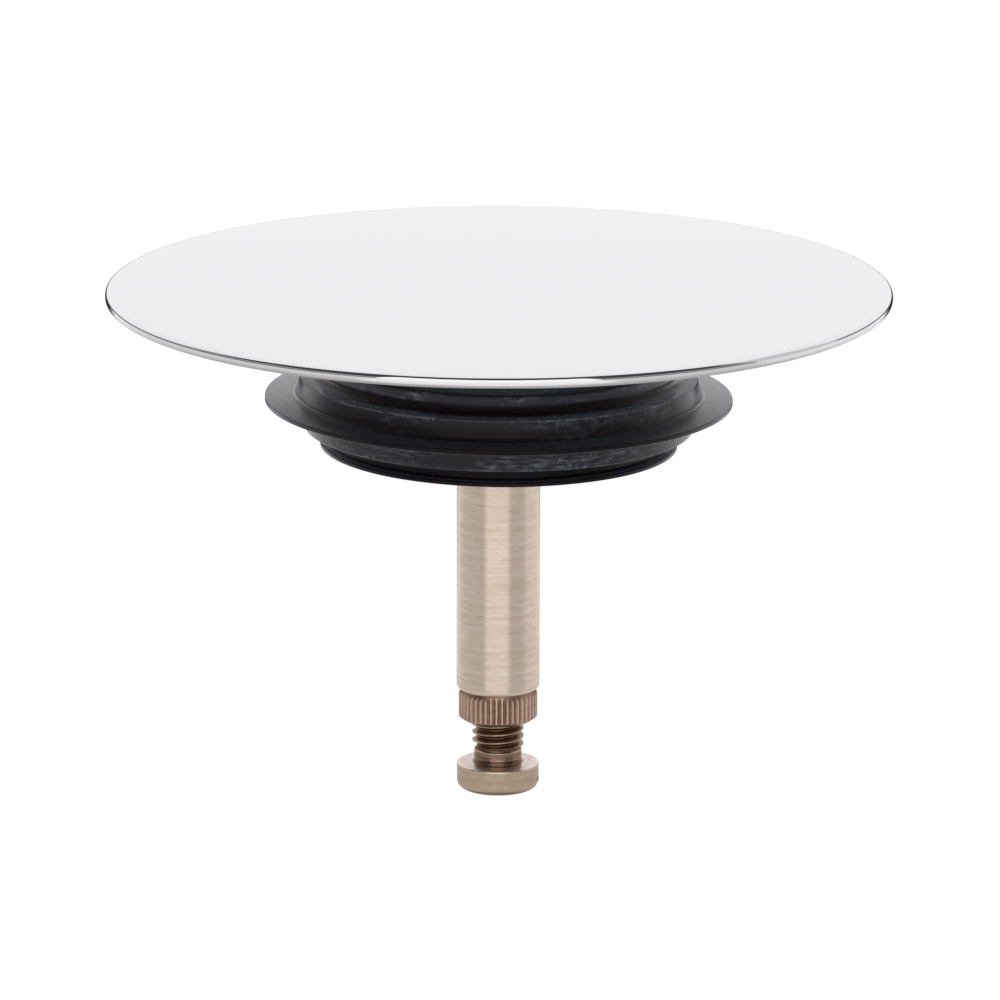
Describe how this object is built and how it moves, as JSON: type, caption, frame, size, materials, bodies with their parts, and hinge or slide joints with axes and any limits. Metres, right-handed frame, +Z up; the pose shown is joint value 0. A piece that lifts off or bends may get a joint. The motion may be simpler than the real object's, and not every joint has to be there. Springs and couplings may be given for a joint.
{
  "type": "drain stopper",
  "caption": "Bath drain stopper: a domed chrome cover plate over a stepped rubber seal, on a brass stem with a knurled lock nut and a height-adjusting screw foot.",
  "frame": {"origin": "on the stem's axis, in the plane of the sealing lip's lower edge, where the lip meets the drain's seat", "axes": "+Z up through the cover plate, away from the drain; -Y towards the viewer; the near end of the foot's slot points to +X"},
  "size_m": [0.075, 0.075, 0.0503],
  "materials": {
    "cover_chrome": "mirror-polished chrome plate over brass",
    "boss_brass": "as turned",
    "carrier_plastic": "moulded black plastic",
    "seal_rubber": "moulded black rubber with a low gloss and chalky scuffs",
    "washer_brass": "stamped sheet",
    "stem_brass": "pale brass with fine turning marks",
    "nut_brass": "knurled red brass",
    "screw_brass": "turned brass with a rolled thread"
  },
  "bodies": {
    "stopper": {"cover_plate": "cover_chrome", "threaded_boss": "boss_brass", "seal_carrier": "carrier_plastic", "profile_seal": "seal_rubber", "retaining_washer": "washer_brass", "stem": "stem_brass"},
    "lock_nut": {"lock_nut": "nut_brass"},
    "adjusting_screw": {"adjusting_screw": "screw_brass"}
  },
  "joints": [
    {"name": "screw_travel", "type": "slide", "parent": "stopper", "child": "lock_nut", "axis": [0, 0, -1], "range_m": [0, 0.008]},
    {"name": "screw_turn", "type": "hinge", "parent": "lock_nut", "child": "adjusting_screw", "pos_m": [0, 0, -0.03842], "axis": [0, 0, -1], "range_deg": [0, 3600]}
  ],
  "couplings": [
    {"joint": "screw_turn", "follows": "screw_travel", "rad_per_m": 7854}
  ]
}
